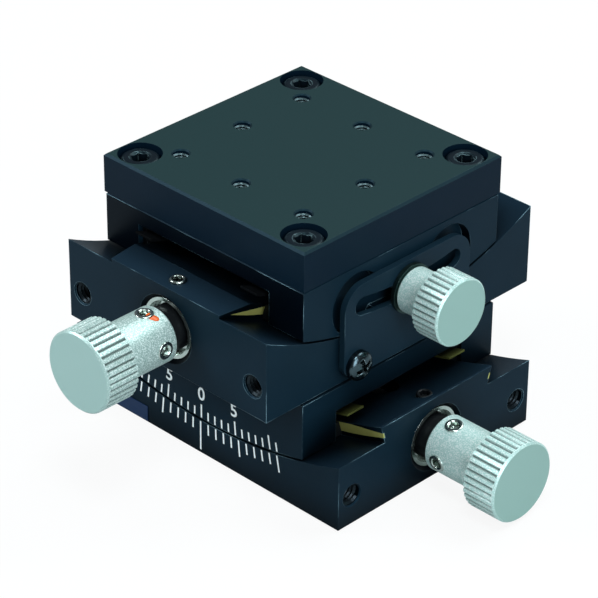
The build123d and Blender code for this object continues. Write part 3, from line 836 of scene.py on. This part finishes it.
@dataclass
class Fasteners:
    """Screws in place of the plain CAD ones, and threads in the tapped holes.

    Sizes are in millimetres and turns in degrees. A turn about a hub counts from the clamp side.
    """

    maker: PieceMaker
    drive_height: float = 8.2
    unit_height: float = 22.0
    hub_radius: float = 5.2
    hub_screw_inset: float = 3.0
    hub_screw_sink: float = 0.35
    hub_screw_spread: float = 90.0
    lower_knob_turn: float = 100.0
    upper_knob_turn: float = 0.0
    cross_turns: tuple[float, float] = (20.0, 65.0)

    def stand_in(self, node: str, parts: list[Shape], finish: Finish, body: str, slot: str) -> None:
        """Make a detailed piece and let it take the place of a plain CAD node.

        Args:
            node: The CAD node that it replaces.
            parts: The shapes that the piece holds.
            finish: The piece's finish.
            body: The CAD body that carries the piece.
            slot: The record's material slot.
        """
        piece = self.maker.make(f"{node}_detailed", parts, finish, body, slot)
        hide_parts(node)

    def cap_screws(self) -> None:
        """Cap screws of the table and of the joint between the two slides."""
        shape = CAP_SCREW.shape()
        for node, body in (("table_screws", "upper_stage"), ("joining_screws", "lower_stage")):
            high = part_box(node)[1]
            head = Vector((high.x, high.y)) / MM - Vector((CAP_SCREW.head_radius, CAP_SCREW.head_radius))
            seat = high.z / MM - CAP_SCREW.head_height
            spots = [Spot((x * head.x, y * head.y, seat), ALONG_Z) for x in (-1, 1) for y in (-1, 1)]
            self.stand_in(node, [spot.seat(shape) for spot in spots], BLACK_OXIDE, body, "black_screw")

    def plate_screws(self) -> None:
        """Pan-head screws of the two clamp plates, with their crosses turned as they came to rest."""
        screw = PanScrew()
        points, faces = screw.shape()
        for unit, body, axis in (("lower", "base", 1), ("upper", "lower_stage", 0)):
            node = f"{unit}_plate_screws"
            low, high = (np.array(corner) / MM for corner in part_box(node))
            along = 1 - axis
            ends = (low[along] + screw.head_radius, high[along] - screw.head_radius)
            parts = []
            for end, angle in zip(ends, self.cross_turns):
                origin = [0.0, 0.0, (low[2] + high[2]) / 2]
                origin[along] = end
                origin[axis] = high[axis] - screw.head_height
                spot = Spot(tuple(origin), (ALONG_X, ALONG_Y)[axis])
                turn = np.array(Matrix.Rotation(math.radians(angle), 3, "Z"))
                parts.append(spot.seat((points @ turn.T, faces)))
            self.stand_in(node, parts, NODE_FINISHES[node], body, "black_screw")

    def hub_spot(self, unit: str, angle: float) -> Spot:
        """Spot on a drive knob's hub at an angle about the drive's axis.

        Args:
            unit: The slide, lower or upper.
            angle: Degrees from the clamp side, turning towards up.

        Returns:
            The spot on the hub's surface.
        """
        aside = math.cos(math.radians(angle)) * self.hub_radius
        up = math.sin(math.radians(angle)) * self.hub_radius
        if unit == "lower":
            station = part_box("lower_drive_knob")[0].x / MM + self.hub_screw_inset
            return Spot((station, aside, self.drive_height + up), (0, aside, up))
        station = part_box("upper_drive_knob")[1].y / MM - self.hub_screw_inset
        return Spot((aside, station, self.unit_height + self.drive_height + up), (aside, 0, up))

    def knob_screws(self) -> None:
        """Bright set screws in the drive knobs' hubs, sunk so that the round hub meets their rims."""
        points, faces = SET_SCREW.shape()
        points[:, 2] -= self.hub_screw_sink
        for unit, turn in (("lower", self.lower_knob_turn), ("upper", self.upper_knob_turn)):
            spots = [self.hub_spot(unit, turn), self.hub_spot(unit, turn + self.hub_screw_spread)]
            parts = [spot.seat((points, faces)) for spot in spots]
            self.stand_in(f"{unit}_knob_screws", parts, BRIGHT_NICKEL, f"{unit}_drive", "bright_steel")

    def lock_screws(self) -> None:
        """Set screws that stand just proud of the dovetail ridges: the lower one painted dark as shadow, the
        upper bright.
        """
        rows = (("lower", "base", "black_screw"), ("upper", "lower_stage", "bright_steel"))
        for unit, body, slot in rows:
            node = f"{unit}_lock_screw"
            low, high = (np.array(corner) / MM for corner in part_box(node))
            origin = (low + high) / 2
            origin[2] = high[2] - LOCK_SCREW.head_height
            parts = [Spot(tuple(origin), ALONG_Z).seat(LOCK_SCREW.shape())]
            self.stand_in(node, parts, NODE_FINISHES[node], body, slot)

    def threads(self) -> None:
        """Thread ridges in the end holes and the table's holes."""
        end_rib, table_rib = END_THREAD.shape(), TABLE_THREAD.shape()
        for unit, body in (("lower", "base"), ("upper", "lower_stage")):
            parts = [spot.seat(end_rib) for spot in pattern_spots(f"{unit}_end_holes")]
            self.maker.make(f"{unit}_end_threads", parts, SHADED_THREAD, body, "black_anodised")
        parts = [spot.seat(table_rib) for mount in TABLE_MOUNTS for spot in pattern_spots(mount)]
        self.maker.make("table_threads", parts, CUT_THREAD, "upper_stage", "table_anodised")

    def paint_dab(self) -> None:
        """Dab of locking paint that runs from the upper knob's top screw onto its hub."""
        dab = PaintDab()
        points, faces = self.hub_spot("upper", dab.angle).seat(dab.shape())
        points = points + np.array([0.0, dab.shift, 0.0])
        self.maker.make("locking_paint_dab", [(points, faces)], LOCKING_PAINT, "upper_drive")

    def build(self) -> None:
        """Make every screw, thread and dab."""
        self.cap_screws()
        self.plate_screws()
        self.knob_screws()
        self.lock_screws()
        self.threads()
        self.paint_dab()


class UnitSide(Enum):
    """Which of the two stacked slides a piece belongs to."""

    LOWER = "lower"
    UPPER = "upper"


@dataclass(frozen=True)
class Slide:
    """Sizes of one curved slide that its scale needs, in millimetres."""

    side: UnitSide
    rail_radius: float
    base_body: str
    stage_body: str
    centre_height: float = 101.6

    def place(self, across: np.ndarray, up: np.ndarray, out: np.ndarray) -> np.ndarray:
        """Place points given on the scale face into the object's frame.

        The scale face of the lower slide looks towards -Y. The upper slide is the lower one
        turned by minus a quarter turn about Z, so its scale face looks towards -X.

        Args:
            across: Distance along the slide.
            up: Height above the floor.
            out: Distance of the point from the slide's middle plane.

        Returns:
            An array of x, y, z rows.
        """
        columns = (across, -out, up) if self.side is UnitSide.LOWER else (-out, -across, up)
        return np.stack(np.broadcast_arrays(*columns), axis=-1).reshape(-1, 3)


LOWER = Slide(UnitSide.LOWER, rail_radius=94.4, base_body="base", stage_body="lower_stage")
UPPER = Slide(UnitSide.UPPER, rail_radius=71.8, base_body="lower_stage", stage_body="upper_stage")


@dataclass
class ScaleFace:
    """Degree scale of a slide: lines on the stage, vernier lines on the base, three numerals.

    Sizes are in millimetres. The degree is the angle from one line to the next, and the zero
    shift the angle of the zero lines, both in degrees as the photograph shows them. A figure is
    the cap share of its font's size high, and the stroke gain makes its strokes bolder.
    """

    slide: Slide
    maker: PieceMaker
    stage_face: float = 24.3
    base_face: float = 24.5
    slide_gap: float = 0.3
    line_width: float = 0.34
    relief: float = 0.02
    line_start: float = 0.18
    degree: float = 1.053
    vernier_share: float = 1.1
    zero_shift: float = -0.42
    stage_lines: int = 11
    base_lines: int = 10
    long_every: int = 5
    stage_short: float = 1.75
    stage_long: float = 2.75
    base_short: float = 2.2
    base_long: float = 3.3
    base_zero: float = 6.0
    numeral_height: float = 2.6
    numeral_inset: float = 5.3
    cap_share: float = 0.72
    stroke_gain: float = 0.055
    numerals: tuple[tuple[str, int], ...] = (("5", -5), ("0", 0), ("5", 5))

    def lines(self, angles: np.ndarray, inner: np.ndarray, outer: np.ndarray, face: float) -> Shape:
        """Flat bars along radii of the scale.

        The middle line of each bar runs on the radius at its angle a, through the points
        (r sin a, centre - r cos a) for r from inner to outer, and the bar stands a hair proud.

        Args:
            angles: Angle of each line in degrees.
            inner: Smaller radius of each line.
            outer: Larger radius of each line.
            face: Distance of the face from the slide's middle plane.

        Returns:
            The points and the faces of all the bars.
        """
        half = self.line_width / 2
        turn = np.radians(angles)[:, None]
        side = np.array([-half, half, half, -half])[None, :]
        radius = np.stack([inner, inner, outer, outer], axis=1)
        across = radius * np.sin(turn) + side * np.cos(turn)
        up = self.slide.centre_height - radius * np.cos(turn) + side * np.sin(turn)
        front = self.slide.place(across, up, np.full_like(across, face + self.relief))
        back = self.slide.place(across, up, np.full_like(across, face - self.relief))
        points = np.concatenate([front.reshape(-1, 4, 3), back.reshape(-1, 4, 3)], axis=1)
        quads = np.array([[3, 2, 1, 0], [4, 5, 6, 7], [1, 5, 4, 0], [2, 6, 5, 1], [3, 7, 6, 2], [0, 4, 7, 3]])
        faces = (quads[None] + 8 * np.arange(len(angles))[:, None, None]).reshape(-1, 4)
        return points.reshape(-1, 3), faces.tolist()

    def stage_marks(self) -> Shape:
        """Lines of the stage: every degree, longer at each fifth.

        Returns:
            The points and the faces of the bars.
        """
        index = np.arange(-self.stage_lines, self.stage_lines + 1)
        outer = np.full(len(index), self.slide.rail_radius - self.slide_gap - self.line_start)
        length = np.where(index % self.long_every == 0, self.stage_long, self.stage_short)
        return self.lines(index * self.degree + self.zero_shift, outer - length, outer, self.stage_face)

    def base_marks(self) -> Shape:
        """Vernier lines of the base: ten to each side of a long zero line.

        Returns:
            The points and the faces of the bars.
        """
        index = np.arange(-self.base_lines, self.base_lines + 1)
        inner = np.full(len(index), self.slide.rail_radius + self.line_start)
        length = np.where(index % self.long_every == 0, self.base_long, self.base_short)
        length = np.where(index == 0, self.base_zero, length)
        angles = index * self.degree * self.vernier_share + self.zero_shift
        return self.lines(angles, inner, inner + length, self.base_face)

    def figure(self, digit: str) -> Shape:
        """Flat figure about its own middle, with its doubled points merged.

        Args:
            digit: The figure to draw.

        Returns:
            The points and the faces.
        """
        curve = bpy.data.curves.new("numeral", "FONT")
        curve.body = digit
        curve.align_x = "CENTER"
        curve.align_y = "CENTER"
        curve.size = self.numeral_height / self.cap_share
        curve.extrude = self.relief
        curve.offset = self.stroke_gain
        text = bpy.data.objects.new("numeral", curve)
        bpy.context.scene.collection.objects.link(text)
        bpy.context.view_layer.update()
        graph = bpy.context.evaluated_depsgraph_get()
        mesh = bpy.data.meshes.new_from_object(text.evaluated_get(graph))
        bpy.data.objects.remove(text)
        rows = np.empty(len(mesh.vertices) * 3)
        mesh.vertices.foreach_get("co", rows)
        points, merged = np.unique(rows.reshape(-1, 3).round(4), axis=0, return_inverse=True)
        merged = merged.reshape(-1)
        faces = [merged[list(polygon.vertices)].tolist() for polygon in mesh.polygons]
        return points, [face for face in faces if len(set(face)) == len(face)]

    def numeral(self, digit: str, index: int) -> None:
        """One numeral above its line, turned to stand along the radius.

        Args:
            digit: The figure to draw.
            index: Number of the line that it stands above.
        """
        flat, faces = self.figure(digit)
        angle = math.radians(index * self.degree + self.zero_shift)
        radius = self.slide.rail_radius - self.numeral_inset - flat[:, 1]
        across = radius * math.sin(angle) + flat[:, 0] * math.cos(angle)
        up = self.slide.centre_height - radius * math.cos(angle) + flat[:, 0] * math.sin(angle)
        points = self.slide.place(across, up, self.stage_face + flat[:, 2])
        name = f"{self.slide.side.value}_numeral_{digit}_{index + self.stage_lines}"
        self.maker.make(name, [(points, faces)], WHITE_FILL, self.slide.stage_body)

    def build(self) -> None:
        """Make the scale's lines and numerals."""
        name = self.slide.side.value
        self.maker.make(f"{name}_stage_scale", [self.stage_marks()], WHITE_FILL, self.slide.stage_body)
        self.maker.make(f"{name}_base_vernier", [self.base_marks()], WHITE_FILL, self.slide.base_body)
        for digit, index in self.numerals:
            self.numeral(digit, index)


@dataclass(frozen=True)
class SoftLamp:
    """A rectangular soft lamp: its centre, size and power in metres and watts, and its colour."""

    name: str
    place: tuple[float, float, float]
    size: tuple[float, float]
    power: float
    colour: str
    aim: tuple[float, float, float] = (0.0, 0.0, 0.03)

    def build(self) -> None:
        """Make the lamp and turn it to its aim."""
        data = bpy.data.lights.new(self.name, "AREA")
        data.shape = "RECTANGLE"
        data.size, data.size_y = self.size
        data.energy = self.power
        data.color = linear(self.colour)[:3]
        lamp = bpy.data.objects.new(self.name, data)
        lamp.location = self.place
        lamp.rotation_euler = (Vector(self.aim) - Vector(self.place)).to_track_quat("-Z", "Y").to_euler()
        bpy.context.scene.collection.objects.link(lamp)


@dataclass
class Studio:
    """Camera at the photograph's place, soft lamps, and a pale floor.

    The camera's turns are in degrees, its place is in millimetres, and its focal length and the
    frame's width are in pixels, all fitted to the photograph. The clip start and the floor are
    in metres. The floor's white share is how much of its own glow the camera sees.
    """

    azimuth: float = 44.417
    elevation: float = 31.064
    roll: float = 0.483
    camera_place: tuple[float, float, float] = (319.416, -326.615, 297.315)
    focal_pixels: float = 2978.875
    frame_pixels: float = 598.0
    sensor_mm: float = 36.0
    clip_start: float = 0.01
    ambient: float = 0.15
    floor_half: float = 3.0
    floor_colour: str = "#b4b8b8"
    floor_glow: float = 1.06
    floor_white_share: float = 0.85
    lamps: tuple[SoftLamp, ...] = (
        SoftLamp("key_front_left", (-0.5, -0.42, 0.5), size=(0.3, 0.3), power=4.7, colour="#f4fbff"),
        SoftLamp("top_back", (0.1, 0.45, 0.65), size=(0.7, 0.5), power=5.0, colour="#f2fcff"),
        SoftLamp("high_front", (0.26, -0.26, 0.8), size=(0.2, 0.2), power=3.2, colour="#f2fcff"),
        SoftLamp("fill_right", (0.62, -0.24, 0.3), size=(0.35, 0.5), power=3.6, colour="#eef7ff"),
    )

    def camera(self) -> None:
        """Create the camera and make it the scene's."""
        data = bpy.data.cameras.new("camera")
        data.sensor_width = self.sensor_mm
        data.lens = self.sensor_mm * self.focal_pixels / self.frame_pixels
        data.clip_start = self.clip_start
        az, el, roll = (math.radians(v) for v in (self.azimuth, self.elevation, self.roll))
        back = Vector((math.sin(az) * math.cos(el), -math.cos(az) * math.cos(el), math.sin(el)))
        right = Vector((math.cos(az), math.sin(az), 0.0))
        up = back.cross(right)
        across = right * math.cos(roll) + up * math.sin(roll)
        upright = up * math.cos(roll) - right * math.sin(roll)
        turn = Matrix((across, upright, back)).transposed().to_4x4()
        camera = bpy.data.objects.new("camera", data)
        camera.matrix_world = Matrix.Translation(Vector(self.camera_place) * MM) @ turn
        bpy.context.scene.collection.objects.link(camera)
        bpy.context.scene.camera = camera

    def world(self) -> None:
        """White to the camera, and a low even level for all other rays."""
        world = bpy.data.worlds.new("studio")
        world.use_nodes = True
        tree = world.node_tree
        tree.nodes.clear()
        path = add_node(tree, "LightPath")
        strength = add_node(
            tree, "MapRange", {"To Min": self.ambient, "To Max": 1.0},
            {"Value": path.outputs["Is Camera Ray"]},
        )
        background = add_node(
            tree, "Background", {"Color": WHITE}, {"Strength": strength.outputs["Result"]}
        )
        add_node(tree, "OutputWorld", None, {"Surface": background.outputs["Background"]})
        bpy.context.scene.world = world

    def floor(self) -> None:
        """Pale floor that the camera sees nearly white, with the object's soft shadow on it."""
        material, tree = new_material("pale_floor")
        path = add_node(tree, "LightPath")
        pale = add_node(tree, "BsdfDiffuse", {"Color": linear(self.floor_colour)})
        white = add_node(tree, "Emission", {"Color": WHITE, "Strength": self.floor_glow})
        share = add_node(
            tree, "Math", {"operation": "MULTIPLY", 1: self.floor_white_share},
            {0: path.outputs["Is Camera Ray"]},
        )
        mixed = add_node(
            tree, "MixShader", None,
            {0: share.outputs[0], 1: pale.outputs["BSDF"], 2: white.outputs["Emission"]},
        )
        add_node(tree, "OutputMaterial", None, {"Surface": mixed.outputs["Shader"]})
        mesh = bpy.data.meshes.new("floor")
        half = self.floor_half
        corners = [(-half, -half, 0), (half, -half, 0), (half, half, 0), (-half, half, 0)]
        mesh.from_pydata(corners, [], [(0, 1, 2, 3)])
        mesh.materials.append(material)
        floor = bpy.data.objects.new("floor", mesh)
        bpy.context.scene.collection.objects.link(floor)

    def build(self) -> None:
        """Set up camera, lamps, world and floor."""
        self.camera()
        for lamp in self.lamps:
            lamp.build()
        self.world()
        self.floor()
        bpy.context.scene.view_settings.view_transform = "Standard"


def main() -> None:
    """Build the studio, the finishes and the added pieces in order."""
    logging.basicConfig(level=logging.INFO)
    Studio().build()
    used = {*SLOT_FINISHES.values(), *NODE_FINISHES.values(), *MARK_FINISHES}
    finishes = {finish.name: finish.build() for finish in sorted(used, key=lambda finish: finish.name)}
    dress_frame(finishes)
    maker = PieceMaker(finishes)
    Fasteners(maker).build()
    for slide in (LOWER, UPPER):
        ScaleFace(slide, maker).build()


if __name__ == "__main__":
    main()
